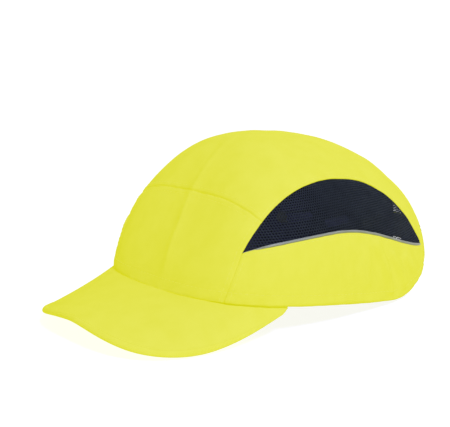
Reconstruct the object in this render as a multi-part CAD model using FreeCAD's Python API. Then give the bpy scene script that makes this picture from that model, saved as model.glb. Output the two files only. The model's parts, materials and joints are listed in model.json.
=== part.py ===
import FreeCAD, Part
import math
import os

# Bump cap. Lengths are in millimetres and angles in degrees.
# +Z is up, the peak points along -Y and the wearer's left is +X; the origin is under the
# middle of the whole cap, on the plane that the peak's edge and the rear hem stand on.
# Angles run round the crown from the middle of the front (0) by the wearer's left to the
# middle of the back (180). Depth is measured inwards from the cloth's outer face.

# Crown, for heads of 55 to 62 cm with the liner inside.
CROWN_LENGTH = 224.0
FRONT_REACH = 89.5
AXIS_BACK = 5.21
HALF_WIDTH = 85.0
PLAN_POWER = 2.65
FRONT_HEM = 23.6
CROWN_TOP = 109.6
SHAPE_FRONT = (1.42, 1.0)
SHAPE_SIDE = (1.89, 2.6)
SHAPE_REAR = (1.95, 1.5)
HEM_ANGLES = (0.0, 38.0, 75.0, 108.0, 127.0, 145.0, 160.0, 180.0)
HEM_DROPS = (0.0, 1.4, 8.5, 17.3, 21.3, 14.0, 5.0, 3.0)
BASE_DROPS = (0.0, 1.4, 8.5, 17.3, 21.3, 14.0, -4.5, -21.0)
UNDER_BASE = 0.5

# Seams of the cover.
SIDE_SEAM_ANGLE = 36.0
MESH_FRONT_ANGLE = 42.0
MESH_REAR_ANGLE = 147.0
REAR_SEAM_ANGLE = 149.0
PIPING_RISE = (26.6, 32.2, 33.0, 28.8, 17.7, 5.4)
MESH_TOP_RISE = (26.6, 54.8, 61.1, 61.8, 60.1, 57.0, 48.3, 26.3, 5.4)
MESH_TAIL_POWER = 0.65
MESH_TIP_CUT = 0.012
CROSS_SEAM_SHARE = 0.075
CROSS_SEAM_REACH = 0.435
FRONT_EDGE_TURN = 0.62
CROWN_EDGE_TURN = 0.84
SEAM_GAP = 0.0012
CLOTH = 1.0
MESH_CLOTH = 0.8
PIPING_DIAMETER = 2.0
PIPING_DEPTH = 0.5
PIPING_ROOM = 1.15
PIPING_TRIM = 0.012
LAID_GAP = 0.05

# Peak.
PEAK_LENGTH = 56.2
PEAK_HALF_ANGLE = 61.2
PEAK_SQUARENESS = 4.6
PEAK_END_POWER = 1.33
PEAK_SPREAD = 0.034
PEAK_DROP_MIDDLE = 6.7
PEAK_DROP_SIDES = 26.6
PEAK_DROP_POWER = 1.65
PEAK_SWEEP = 0.25
PEAK_THIN_SPAN = (0.75, 0.97)
PEAK_THIN_END = 0.5
PEAK_TUCK = 2.0
PEAK_BELOW_HEM = 0.44
PEAK_COVER = 0.8
PEAK_BOARD = 1.8
PEAK_RIM = 0.0625
PEAK_TRIM = 0.97
PEAK_BOARD_SHORT = 0.01

# Arch at the back, its binding and the closing strap.
ARCH_HALF_WIDTH = 47.0
ARCH_HEIGHT = 46.0
ARCH_FOOT = 11.1
ARCH_FOOT_ANGLE = 157.0
BINDING_WIDTH = 6.0
BINDING_PROUD = 0.4
BINDING_THICK = 1.9
BINDING_ROOM = 0.3
STRAP_HEIGHT = 18.0
STRAP_FOOT = 21.1
STRAP_THICK = 1.2
PATCH_THICK = 0.7
PATCH_INSET = 1.5
LOOP_DEPTH = 1.8
LOOP_ROOT = 52.0
LOOP_END = -6.0
LOOP_PATCH_SPAN = (24.0, -5.0)
ANCHOR_ROOT = -52.0
HINGE_AT = -31.0
HINGE_GAP = 0.4
TAB_STEP_END = -17.0
TAB_END = 26.0
HOOK_PATCH_SPAN = (-9.0, 24.0)
LAYER_GAP = 0.3

# Shell, pads and sweatband.
SHELL_DEPTH = 1.7
SHELL_THICK = 2.0
RIM_RISE_FRONT = 23.0
RIM_HEIGHT_REAR = 67.2
RIM_TURN = (105.0, 150.0)
SHELL_HOLE = 0.07
VENT_LENGTH = 24.0
VENT_HEIGHT = 6.0
VENT_ANGLES = (66.0, 90.0, 114.0)
VENT_RISE = 52.0
VENT_REACH = 60.0
PAD_DEPTH = 3.8
PAD_THICK = 5.0
CROWN_PAD_HALF = 0.2
CROWN_PAD_BULGE = 0.26
PAD_FRONT_SPAN = (34.0, 40.0, 62.0)
PAD_SIDE_SPAN = (62.0, 104.0, 40.0, 60.0)
PAD_REAR_SPAN = (26.0, 52.0, 68.0)
BAND_ANGLE = 146.0
BAND_FOOT = 1.5
BAND_TALL = 35.0
BAND_DEPTH_FOOT = 1.3
BAND_DEPTH_TOP = 4.2
BAND_TURN = (6.0, 20.0)
BAND_THICK = 2.0

# Numbers of points that the faces are drawn through.
FINE = 31
MEDIUM = 17
COARSE = 9
SMALL = 5
STEP = 0.001
NORMAL_RISE = 1.5
APEX_BLEND = 4.0
SEW = 0.01
BACK_HALF = (90.0, 270.0)
HALVINGS = 40


def smooth(t):
    t = min(max(t, 0.0), 1.0)
    return t * t * (3.0 - 2.0 * t)


def share(i, count):
    return i / (count - 1.0)


def mix(a, b, t):
    return a + (b - a) * t


def through(values, t):
    """A curve through evenly spaced values, read at t from 0 to 1."""
    total = 0.0
    last = len(values) - 1
    for i, value in enumerate(values):
        weight = 1.0
        for j in range(len(values)):
            if j != i:
                weight *= (t * last - j) / (i - j)
        total += value * weight
    return total


def height_through(drops, angle):
    """Height above the ground of a smooth curve round the crown, drops below the front hem."""
    angle = abs((angle + 180.0) % 360.0 - 180.0)
    last = len(HEM_ANGLES) - 1
    i = 0
    while i < last - 1 and angle > HEM_ANGLES[i + 1]:
        i += 1
    slopes = []
    for k in (i, i + 1):
        if k in (0, last):
            slopes.append(0.0)
        else:
            rise = drops[k + 1] - drops[k - 1]
            slopes.append(rise / (HEM_ANGLES[k + 1] - HEM_ANGLES[k - 1]))
    span = HEM_ANGLES[i + 1] - HEM_ANGLES[i]
    t = (angle - HEM_ANGLES[i]) / span
    ease = smooth(t)
    drop = mix(drops[i], drops[i + 1], ease)
    drop += slopes[0] * span * t * (1.0 - t) ** 2
    drop -= slopes[1] * span * t * t * (1.0 - t)
    return FRONT_HEM - drop


def hem_height(angle):
    return height_through(HEM_DROPS, angle)


def base_height(angle):
    """Height where the crown is at its widest; the back goes a little below it."""
    return height_through(BASE_DROPS, angle)


def plan_radius(angle):
    c = math.cos(math.radians(angle))
    s = math.sin(math.radians(angle))
    reach = FRONT_REACH if c > 0.0 else CROWN_LENGTH - FRONT_REACH
    total = (abs(c) / reach) ** PLAN_POWER + (abs(s) / HALF_WIDTH) ** PLAN_POWER
    return total ** (-1.0 / PLAN_POWER)


def shape_powers(angle):
    c = math.cos(math.radians(angle))
    end = SHAPE_FRONT if c > 0.0 else SHAPE_REAR
    return [mix(SHAPE_SIDE[k], end[k], c * c) for k in range(2)]


def signed_power(value, power):
    return math.copysign(abs(value) ** power, value)


def crown_point(angle, tau):
    """Point on the cloth's outer face. tau is 0 at the widest line and 90 at the top."""
    plump, tall = shape_powers(angle)
    rise = math.sin(math.radians(tau))
    plump = mix(plump, 2.0, abs(rise) ** APEX_BLEND)
    lean = math.radians(tau if tau > 0.0 else tau * UNDER_BASE)
    out = plan_radius(angle) * max(math.cos(lean), 0.0) ** (2.0 / plump)
    base = base_height(angle)
    z = base + (CROWN_TOP - base) * signed_power(rise, 2.0 / tall)
    turn = math.radians(angle)
    return FreeCAD.Vector(out * math.sin(turn), AXIS_BACK - out * math.cos(turn), z)


def tau_at(angle, height):
    """tau at a height above the ground."""
    tall = shape_powers(angle)[1]
    base = base_height(angle)
    t = (height - base) / (CROWN_TOP - base)
    return math.degrees(math.asin(min(signed_power(t, tall / 2.0), 1.0)))


def to_disc(angle, tau):
    """Flat chart of the crown: top at (0, 0), widest line the unit circle, front at +x."""
    r = 1.0 - tau / 90.0
    return (r * math.cos(math.radians(angle)), r * math.sin(math.radians(angle)))


def from_disc(spot):
    r = math.hypot(spot[0], spot[1])
    return (math.degrees(math.atan2(spot[1], spot[0])), 90.0 * (1.0 - r))


def cloth_point(spot, depth):
    """Point at a depth below the cloth's outer face."""
    angle, tau = from_disc(spot)
    lowest = tau_at(angle, hem_height(angle) + NORMAL_RISE)
    x, y = to_disc(angle, max(tau, lowest))
    ahead = crown_point(*from_disc((x + STEP, y))) - crown_point(*from_disc((x - STEP, y)))
    aside = crown_point(*from_disc((x, y + STEP))) - crown_point(*from_disc((x, y - STEP)))
    inwards = aside.cross(ahead)
    inwards.normalize()
    return crown_point(angle, tau) + inwards * depth


def raised(angle, rise):
    """Chart spot at a height above the hem."""
    return to_disc(angle, tau_at(angle, hem_height(angle) + rise))


def patch_spot(edges, u, v):
    """Spot inside four chart edges: foot, head, left and right, each a function of 0 to 1."""
    foot, head, left, right = edges
    spot = []
    for k in range(2):
        across = mix(foot(u)[k], head(u)[k], v) + mix(left(v)[k], right(v)[k], u)
        low = mix(foot(0.0)[k], foot(1.0)[k], u)
        high = mix(head(0.0)[k], head(1.0)[k], u)
        spot.append(across - mix(low, high, v))
    return tuple(spot)


def spline(points):
    """Smooth line through points, evenly timed."""
    line = Part.BSplineCurve()
    line.interpolate(Points=points, Parameters=[share(i, len(points)) for i in range(len(points))])
    return line


def face_through(rows):
    """Smooth face through rows of points: a line through each row, then across the lines."""
    along = [spline(row) for row in rows]
    across = [spline(list(column)) for column in zip(*[line.getPoles() for line in along])]
    poles = [list(row) for row in zip(*[line.getPoles() for line in across])]
    a, b = across[0], along[0]
    surface = Part.BSplineSurface()
    surface.buildFromPolesMultsKnots(
        poles,
        a.getMultiplicities(),
        b.getMultiplicities(),
        a.getKnots(),
        b.getKnots(),
        False,
        False,
        a.Degree,
        b.Degree,
    )
    return surface


def skin(outer_rows, inner_rows):
    """Solid between two faces drawn through matching rows of points."""
    outer = face_through(outer_rows)
    inner = face_through(inner_rows)
    faces = [outer.toShape(), inner.toShape()]
    u0, u1, v0, v1 = outer.bounds()
    p0, p1, q0, q1 = inner.bounds()
    sides = [(outer.uIso(u0), inner.uIso(p0)), (outer.uIso(u1), inner.uIso(p1))]
    sides += [(outer.vIso(v0), inner.vIso(q0)), (outer.vIso(v1), inner.vIso(q1))]
    for a, b in sides:
        faces.append(Part.makeRuledSurface(a.toShape(), b.toShape()))
    return closed(faces)


def closed(faces):
    shell = Part.makeCompound(faces)
    shell.sewShape(SEW)
    solid = Part.Solid(shell.Shells[0])
    if solid.Volume < 0.0:
        solid.reverse()
    return solid


def panel(edges, across, along, depth, thick, gap=SEAM_GAP):
    """A piece of cloth or foam on the crown, between four chart edges."""
    outer = []
    inner = []
    for i in range(across):
        u = mix(gap, 1.0 - gap, share(i, across))
        spots = [patch_spot(edges, u, mix(gap, 1.0 - gap, share(j, along))) for j in range(along)]
        outer.append([cloth_point(spot, depth) for spot in spots])
        inner.append([cloth_point(spot, depth + thick) for spot in spots])
    return skin(outer, inner)


def mirrored(solid):
    return solid.mirror(FreeCAD.Vector(), FreeCAD.Vector(1.0, 0.0, 0.0))


def write(name, solid):
    if not solid.isValid() or solid.Volume <= 0.0:
        raise ValueError(name + " is not a good solid")
    solid.exportStep(os.path.join("parts", name + ".step"))
    print(name, len(solid.Solids), round(solid.Volume, 1), solid.BoundBox)


# Seam lines on the wearer's left, as chart spots.


def seam_angle(t):
    return mix(MESH_FRONT_ANGLE, MESH_REAR_ANGLE, t)


def piping_height(t):
    return FRONT_HEM + through(PIPING_RISE, t)


def piping_spot(t, above=0.0):
    angle = seam_angle(t)
    return to_disc(angle, tau_at(angle, piping_height(t) + above))


def piping_room(t):
    """Height that leaves the piping room above or below its line, more where it is steep."""
    climb = (piping_height(t + STEP) - piping_height(t - STEP)) / (2.0 * STEP)
    run = HALF_WIDTH * math.radians(MESH_REAR_ANGLE - MESH_FRONT_ANGLE)
    return PIPING_ROOM * math.hypot(1.0, climb / run)


def mesh_top_height(t):
    """Upper edge of the mesh: it rises fast at the front and ends in a round tail."""
    place = 1.0 - max(1.0 - t, 0.0) ** MESH_TAIL_POWER
    return FRONT_HEM + through(MESH_TOP_RISE, place)


def mesh_top_spot(t, above=0.0):
    angle = seam_angle(t)
    return to_disc(angle, tau_at(angle, mesh_top_height(t) + above))


def side_seam_spot(t, short=0.0):
    """Seam between the front and the side, up to the mesh's front tip."""
    angle = mix(SIDE_SEAM_ANGLE, MESH_FRONT_ANGLE, t)
    top = piping_height(0.0) - short
    return to_disc(angle, tau_at(angle, mix(hem_height(angle), top, t)))


def rear_seam_spot(t, short=0.0):
    """Seam behind the side, from the mesh's rear tip down to the hem."""
    angle = mix(MESH_REAR_ANGLE, REAR_SEAM_ANGLE, smooth(t))
    top = piping_height(1.0) - short
    return to_disc(angle, tau_at(angle, mix(top, hem_height(angle), t)))


def other_side(edge):
    return lambda t: (edge(t)[0], -edge(t)[1])


def front_side_edge(t):
    """The front panel's side edge: side seam, then the mesh's upper edge."""
    if t < FRONT_EDGE_TURN:
        return side_seam_spot(t / FRONT_EDGE_TURN)
    return mesh_top_spot(CROSS_SEAM_SHARE * (t - FRONT_EDGE_TURN) / (1.0 - FRONT_EDGE_TURN))


def crown_side_edge(t):
    """The crown panel's side edge: the mesh's upper edge, then the rear seam."""
    if t < CROWN_EDGE_TURN:
        ease = math.sin(math.pi / 2.0 * t / CROWN_EDGE_TURN)
        return mesh_top_spot(mix(CROSS_SEAM_SHARE, 1.0, ease))
    return rear_seam_spot((t - CROWN_EDGE_TURN) / (1.0 - CROWN_EDGE_TURN))


def cross_seam(t):
    """Seam over the front, from the wearer's right to the left."""
    end = mesh_top_spot(CROSS_SEAM_SHARE)
    side = 2.0 * t - 1.0
    return (mix(CROSS_SEAM_REACH, end[0], side * side), end[1] * side)


def hem_run(start, end):
    return lambda t: raised(mix(start, end, t), 0.0)


def shell_rim_rise(angle):
    angle = abs((angle + 180.0) % 360.0 - 180.0)
    turn = (angle - RIM_TURN[0]) / (RIM_TURN[1] - RIM_TURN[0])
    return mix(RIM_RISE_FRONT, RIM_HEIGHT_REAR - hem_height(angle), smooth(turn))


def build_cover():
    front = (hem_run(-SIDE_SEAM_ANGLE, SIDE_SEAM_ANGLE), cross_seam)
    front += (other_side(front_side_edge), front_side_edge)
    write("front_panel", panel(front, FINE, MEDIUM, 0.0, CLOTH))
    crown = (cross_seam, hem_run(-REAR_SEAM_ANGLE, REAR_SEAM_ANGLE - 360.0))
    crown += (other_side(crown_side_edge), crown_side_edge)
    top = panel(crown, FINE, FINE, 0.0, CLOTH)
    write("crown_panel", top.cut(arch_cutter()))
    side = (hem_run(SIDE_SEAM_ANGLE, REAR_SEAM_ANGLE), lambda t: piping_spot(t, -piping_room(t)))
    side += (lambda t: side_seam_spot(t, piping_room(0.0)),)
    side += (lambda t: rear_seam_spot(1.0 - t, piping_room(1.0)),)
    left = panel(side, FINE, COARSE, 0.0, CLOTH)
    write("side_panel_left", left)
    write("side_panel_right", mirrored(left))
    low = lambda t: piping_spot(mesh_share(t), piping_room(mesh_share(t)))
    high = lambda t: mesh_top_spot(mesh_share(t))
    ends = (lambda t: between(low(0.0), high(0.0), t), lambda t: between(low(1.0), high(1.0), t))
    left = panel((low, high) + ends, FINE, COARSE, 0.0, MESH_CLOTH)
    write("mesh_panel_left", left)
    write("mesh_panel_right", mirrored(left))


def mesh_share(t):
    """Place along the mesh between its cut tips, with more points near them."""
    return mix(MESH_TIP_CUT, 1.0 - MESH_TIP_CUT, (1.0 - math.cos(math.pi * t)) / 2.0)


def between(a, b, t):
    return (mix(a[0], b[0], t), mix(a[1], b[1], t))


def build_piping():
    places = [mix(PIPING_TRIM, 1.0 - PIPING_TRIM, share(i, FINE)) for i in range(FINE)]
    points = [cloth_point(piping_spot(t), PIPING_DEPTH) for t in places]
    line = spline(points)
    start = line.value(line.FirstParameter)
    heading = line.tangent(line.FirstParameter)[0]
    ring = Part.Wire([Part.Circle(start, heading, PIPING_DIAMETER / 2.0).toShape()])
    left = Part.Wire([line.toShape()]).makePipeShell([ring], True, True)
    write("reflective_piping_left", left)
    write("reflective_piping_right", mirrored(left))


def peak_point(q, v, depth):
    """Point in the peak: q is -1 to 1 across it and v is 0 at the crown, 1 at the edge."""
    angle = PEAK_HALF_ANGLE * q
    turn = math.radians(angle)
    base = plan_radius(angle) - PEAK_TUCK
    body = max(1.0 - abs(q) ** PEAK_SQUARENESS, 0.0) ** PEAK_END_POWER
    width = PEAK_LENGTH * body + PEAK_TUCK
    slope = math.tan(math.radians(PEAK_DROP_MIDDLE + PEAK_DROP_SIDES * abs(q) ** PEAK_DROP_POWER))
    x = base * math.sin(turn) * (1.0 + PEAK_SPREAD * width / PEAK_LENGTH * v)
    y = AXIS_BACK - base * math.cos(turn) - width * v
    fall = width * slope * (v + PEAK_SWEEP * v * (1.0 - v))
    start, end = PEAK_THIN_SPAN
    depth *= mix(1.0, PEAK_THIN_END, smooth((abs(q) - start) / (end - start)))
    return FreeCAD.Vector(x, y, hem_height(angle) - PEAK_BELOW_HEM - fall - depth)


def peak_layer(top, bottom, end):
    """Solid between two depths, each a function of v, with more points near the edge."""
    rows = ([], [])
    for i in range(FINE):
        q = PEAK_TRIM * math.sin(math.radians(90.0 * (2.0 * share(i, FINE) - 1.0)))
        vs = [end * (1.0 - (1.0 - share(j, MEDIUM)) ** 2) for j in range(MEDIUM)]
        rows[0].append([peak_point(q, v, top(v)) for v in vs])
        rows[1].append([peak_point(q, v, bottom(v)) for v in vs])
    return skin(rows[0], rows[1])


def build_peak():
    whole = 2.0 * PEAK_COVER + PEAK_BOARD + 2.0 * LAID_GAP
    above = (whole - LAID_GAP) / 2.0
    below = (whole + LAID_GAP) / 2.0
    close = lambda v: smooth((v - 1.0 + PEAK_RIM) / PEAK_RIM)
    upper = peak_layer(lambda v: 0.0, lambda v: mix(PEAK_COVER, above, close(v)), 1.0)
    write("peak_upper_cover", upper)
    lower = peak_layer(lambda v: mix(whole - PEAK_COVER, below, close(v)), lambda v: whole, 1.0)
    write("peak_lower_cover", lower)
    reach = 1.0 - PEAK_RIM - PEAK_BOARD_SHORT
    over = PEAK_COVER + LAID_GAP
    board = peak_layer(lambda v: over, lambda v: over + PEAK_BOARD, reach)
    write("peak_board", board)


def rear_point(x, z, depth):
    """Point at the back of the crown with a given x and height."""
    low, high = BACK_HALF
    for _ in range(HALVINGS):
        angle = (low + high) / 2.0
        if crown_point(angle, tau_at(angle, z)).x > x:
            low = angle
        else:
            high = angle
    return cloth_point(to_disc(angle, tau_at(angle, z)), depth)


def arch_cutter():
    half = ARCH_HALF_WIDTH + BINDING_WIDTH + BINDING_ROOM
    tall = ARCH_HEIGHT + BINDING_WIDTH + BINDING_ROOM
    ring = [FreeCAD.Vector(half, 0.0, -tall)]
    for i in range(FINE):
        turn = math.pi * share(i, FINE)
        ring.append(FreeCAD.Vector(half * math.cos(turn), 0.0, ARCH_FOOT + tall * math.sin(turn)))
    ring.append(FreeCAD.Vector(-half, 0.0, -tall))
    curve = spline(ring[1:-1])
    base = Part.makePolygon([ring[-2], ring[-1], ring[0], ring[1]])
    face = Part.Face(Part.Wire([curve.toShape()] + base.Edges))
    return face.extrude(FreeCAD.Vector(0.0, CROWN_LENGTH, 0.0))


def build_binding():
    rows = ([], [])
    start = math.asin((hem_height(ARCH_FOOT_ANGLE) - ARCH_FOOT) / ARCH_HEIGHT)
    for i in range(FINE):
        turn = mix(start, math.pi - start, share(i, FINE))
        inner = []
        outer = []
        for j in range(SMALL):
            extra = BINDING_WIDTH * share(j, SMALL)
            x = (ARCH_HALF_WIDTH + extra) * math.cos(turn)
            z = ARCH_FOOT + (ARCH_HEIGHT + extra) * math.sin(turn)
            outer.append(rear_point(x, z, -BINDING_PROUD))
            inner.append(rear_point(x, z, BINDING_THICK - BINDING_PROUD))
        rows[0].append(outer)
        rows[1].append(inner)
    write("arch_binding", skin(rows[0], rows[1]))


def strap_band(stations, thick, inset=0.0):
    """Band through stations, each an x and the depth of its outer face."""
    rows = ([], [])
    low = STRAP_FOOT + inset
    high = STRAP_FOOT + STRAP_HEIGHT - inset
    for x, depth in stations:
        heights = [mix(low, high, share(j, SMALL)) for j in range(SMALL)]
        rows[0].append([rear_point(x, z, depth) for z in heights])
        rows[1].append([rear_point(x, z, depth + thick) for z in heights])
    return skin(rows[0], rows[1])


def level_run(start, end, depth):
    return [(mix(start, end, share(i, COARSE)), depth) for i in range(COARSE)]


def build_strap():
    write("strap_loop_tab", strap_band(level_run(LOOP_ROOT, LOOP_END, LOOP_DEPTH), STRAP_THICK))
    patch_depth = LOOP_DEPTH - LAID_GAP - PATCH_THICK
    patch = level_run(LOOP_PATCH_SPAN[0], LOOP_PATCH_SPAN[1], patch_depth)
    write("loop_patch", strap_band(patch, PATCH_THICK, PATCH_INSET))
    hook_depth = patch_depth - LAYER_GAP - PATCH_THICK
    hook = level_run(HOOK_PATCH_SPAN[0], HOOK_PATCH_SPAN[1], hook_depth)
    write("hook_patch", strap_band(hook, PATCH_THICK, PATCH_INSET))
    tab_depth = hook_depth - LAID_GAP - STRAP_THICK
    anchor = level_run(ANCHOR_ROOT, HINGE_AT - HINGE_GAP, LOOP_DEPTH)
    write("strap_anchor", strap_band(anchor, STRAP_THICK))
    stations = []
    for i in range(MEDIUM):
        x = mix(HINGE_AT + HINGE_GAP, TAB_END, share(i, MEDIUM))
        step = (x - HINGE_AT) / (TAB_STEP_END - HINGE_AT)
        stations.append((x, mix(LOOP_DEPTH, tab_depth, smooth(step))))
    write("strap_tab", strap_band(stations, STRAP_THICK))


def build_shell():
    rows = ([], [])
    for i in range(FINE):
        angle = 180.0 * share(i, FINE)
        rim = raised(angle, shell_rim_rise(angle))
        top = to_disc(angle, 90.0 * (1.0 - SHELL_HOLE))
        spots = [between(rim, top, share(j, MEDIUM)) for j in range(MEDIUM)]
        rows[0].append([cloth_point(spot, SHELL_DEPTH) for spot in spots])
        rows[1].append([cloth_point(spot, SHELL_DEPTH + SHELL_THICK) for spot in spots])
    half = skin(rows[0], rows[1])
    shell = half.fuse(mirrored(half))
    for side in (1.0, -1.0):
        for angle in VENT_ANGLES:
            shell = shell.cut(vent_cutter(side * angle))
    write("bump_shell", shell)


def vent_cutter(angle):
    """Slot through the shell's side, longer than it is tall, with round ends."""
    middle = cloth_point(raised(angle, VENT_RISE), SHELL_DEPTH)
    half = (VENT_LENGTH - VENT_HEIGHT) / 2.0
    block = Part.makeBox(2.0 * half, VENT_REACH, VENT_HEIGHT)
    block.translate(FreeCAD.Vector(-half, -VENT_REACH / 2.0, -VENT_HEIGHT / 2.0))
    for end in (-half, half):
        place = FreeCAD.Vector(end, -VENT_REACH / 2.0, 0.0)
        along = FreeCAD.Vector(0.0, 1.0, 0.0)
        block = block.fuse(Part.makeCylinder(VENT_HEIGHT / 2.0, VENT_REACH, place, along))
    block.rotate(FreeCAD.Vector(), FreeCAD.Vector(0.0, 0.0, 1.0), angle)
    block.translate(middle)
    return block


def box_edges(start, end, low, high):
    """Edges of a pad between two angles and two heights above the hem."""
    foot = lambda t: raised(mix(start, end, t), low)
    head = lambda t: raised(mix(start, end, t), high)
    left = lambda t: raised(start, mix(low, high, t))
    right = lambda t: raised(end, mix(low, high, t))
    return (foot, head, left, right)


def bowed(a, b):
    """Chart edge from a to b, bowed outwards from the top."""
    push = (CROWN_PAD_BULGE - CROWN_PAD_HALF) / CROWN_PAD_HALF / 2.0

    def edge(t):
        bow = 4.0 * t * (1.0 - t) * push
        return (mix(a[0], b[0], t) + (a[0] + b[0]) * bow, mix(a[1], b[1], t) + (a[1] + b[1]) * bow)

    return edge


def build_pads():
    h = CROWN_PAD_HALF
    foot = bowed((h, -h), (h, h))
    head = bowed((-h, -h), (-h, h))
    left = bowed((h, -h), (-h, -h))
    right = bowed((h, h), (-h, h))
    write("crown_pad", panel((foot, head, left, right), MEDIUM, MEDIUM, PAD_DEPTH, PAD_THICK, 0.0))
    half, low, high = PAD_FRONT_SPAN
    edges = box_edges(-half, half, low, high)
    write("front_pad", panel(edges, MEDIUM, SMALL, PAD_DEPTH, PAD_THICK, 0.0))
    start, end, low, high = PAD_SIDE_SPAN
    left = panel(box_edges(start, end, low, high), COARSE, SMALL, PAD_DEPTH, PAD_THICK, 0.0)
    write("side_pad_left", left)
    write("side_pad_right", mirrored(left))
    half, low, high = PAD_REAR_SPAN
    edges = box_edges(180.0 - half, 180.0 + half, low, high)
    write("rear_pad", panel(edges, COARSE, SMALL, PAD_DEPTH, PAD_THICK, 0.0))


def build_band():
    rows = ([], [])
    count = 2 * FINE - 1
    for i in range(count):
        angle = mix(-BAND_ANGLE, BAND_ANGLE, share(i, count))
        outer = []
        inner = []
        for j in range(COARSE):
            rise = mix(BAND_FOOT, BAND_TALL, share(j, COARSE))
            turn = (rise - BAND_TURN[0]) / (BAND_TURN[1] - BAND_TURN[0])
            depth = mix(BAND_DEPTH_FOOT, BAND_DEPTH_TOP, smooth(turn))
            outer.append(cloth_point(raised(angle, rise), depth))
            inner.append(cloth_point(raised(angle, rise), depth + BAND_THICK))
        rows[0].append(outer)
        rows[1].append(inner)
    write("sweatband", skin(rows[0], rows[1]))


os.makedirs("parts", exist_ok=True)
build_cover()
build_piping()
build_peak()
build_binding()
build_strap()
build_shell()
build_pads()
build_band()
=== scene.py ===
import json
import math

import bpy
import numpy as np
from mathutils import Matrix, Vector

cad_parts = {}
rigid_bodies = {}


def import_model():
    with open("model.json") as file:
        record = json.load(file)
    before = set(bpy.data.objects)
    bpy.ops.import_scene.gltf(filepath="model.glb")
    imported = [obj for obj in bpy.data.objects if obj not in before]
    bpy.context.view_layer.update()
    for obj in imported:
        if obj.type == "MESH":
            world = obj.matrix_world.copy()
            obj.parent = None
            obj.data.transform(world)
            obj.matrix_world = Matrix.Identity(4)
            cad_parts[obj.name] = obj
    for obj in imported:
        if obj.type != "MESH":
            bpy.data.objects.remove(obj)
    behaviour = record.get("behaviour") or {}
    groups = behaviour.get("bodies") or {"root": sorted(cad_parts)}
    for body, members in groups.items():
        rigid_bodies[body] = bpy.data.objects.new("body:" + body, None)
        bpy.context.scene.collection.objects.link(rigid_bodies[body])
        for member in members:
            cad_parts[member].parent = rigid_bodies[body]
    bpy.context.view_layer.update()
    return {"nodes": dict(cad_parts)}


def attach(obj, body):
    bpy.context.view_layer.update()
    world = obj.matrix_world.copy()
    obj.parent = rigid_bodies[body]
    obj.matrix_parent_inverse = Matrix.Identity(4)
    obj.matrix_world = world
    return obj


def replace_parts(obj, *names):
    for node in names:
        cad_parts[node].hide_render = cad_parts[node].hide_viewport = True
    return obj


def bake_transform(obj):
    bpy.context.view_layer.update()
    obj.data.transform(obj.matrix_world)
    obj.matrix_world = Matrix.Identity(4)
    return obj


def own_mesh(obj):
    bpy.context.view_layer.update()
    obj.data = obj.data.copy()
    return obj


for old in list(bpy.data.objects):
    bpy.data.objects.remove(old)
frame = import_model()
rng = np.random.default_rng(11)

# Lengths are in millimetres until a mesh is made. Angles run round the crown from the
# middle of the front (0) by the wearer's left (90) to the back (180).
# Crown: plan, section, and how far the hem and the widest line drop below the front hem.
CROWN_LENGTH, FRONT_REACH, AXIS_BACK, HALF_WIDTH = 224.0, 89.5, 5.21, 85.0
PLAN_POWER, FRONT_HEM, CROWN_TOP = 2.65, 23.6, 109.6
SHAPE_FRONT, SHAPE_SIDE, SHAPE_REAR = (1.42, 1.0), (1.89, 2.6), (1.95, 1.5)
HEM_ANGLES = np.array((0.0, 38.0, 75.0, 108.0, 127.0, 145.0, 160.0, 180.0))
HEM_DROPS = np.array((0.0, 1.4, 8.5, 17.3, 21.3, 14.0, 5.0, 3.0))
BASE_DROPS = np.array((0.0, 1.4, 8.5, 17.3, 21.3, 14.0, -4.5, -21.0))
# Seams: angles, rises above the front hem along the vent's foot and top, the seam over the
# front panel, and where a panel's side edge passes from one neighbour to the next.
SIDE_SEAM, MESH_FRONT, MESH_REAR, REAR_SEAM = 36.0, 42.0, 147.0, 149.0
PIPING_RISE = (26.6, 32.2, 33.0, 28.8, 17.7, 5.4)
MESH_TOP_RISE = (26.6, 54.8, 61.1, 61.8, 60.1, 57.0, 48.3, 26.3, 5.4)
CROSS_SHARE, CROSS_REACH = 0.075, 0.435
FRONT_SPLIT, CROWN_SPLIT = 0.62, 0.84
# Rear arch and strap.
ARCH_HALF, ARCH_TALL, ARCH_FOOT, TAPE_HALF = 47.0, 46.0, 11.1, 3.0
STRAP_FOOT, STRAP_HEIGHT, HINGE_X = 21.1, 18.0, -31.0
# Peak, the crease down the crown, cloth and stitches, and the liner's pads.
PEAK_LENGTH, PEAK_TURN, PEAK_SPREAD, PEAK_SWEEP = 56.2, 61.2, 0.034, 0.25
PEAK_DROP_MIDDLE, PEAK_DROP_SIDES, PEAK_DROP_POWER, PEAK_THICK = 6.7, 26.6, 1.65, 3.4
CREASE_TALL, CREASE_WIDE, CREASE_ASIDE, CREASE_ROUND = 4.2, 15.0, 10.0, 0.8
CLOTH_THICK, STRAP_THICK, UV_SCALE = 0.8, 1.2, 130.0
STITCH_LONG, STITCH_GAP, STITCH_RADIUS, STITCH_SINK = 2.4, 0.7, 0.16, 0.03
PAD_THICK, PAD_RIM, PAD_DEPTH, PAD_FILL = 5.0, 4.5, 3.85, 0.7
BAND_REACH, BAND_FOOT, BAND_TOP, BAND_STITCH = 146.0, 1.5, 35.0, 4.5
MM = 0.001


def smooth(t):
    t = np.clip(t, 0.0, 1.0)
    return t * t * (3.0 - 2.0 * t)


def mix(a, b, t):
    return a + (b - a) * t


def stack(*parts):
    return np.stack(np.broadcast_arrays(*parts), -1)


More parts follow.
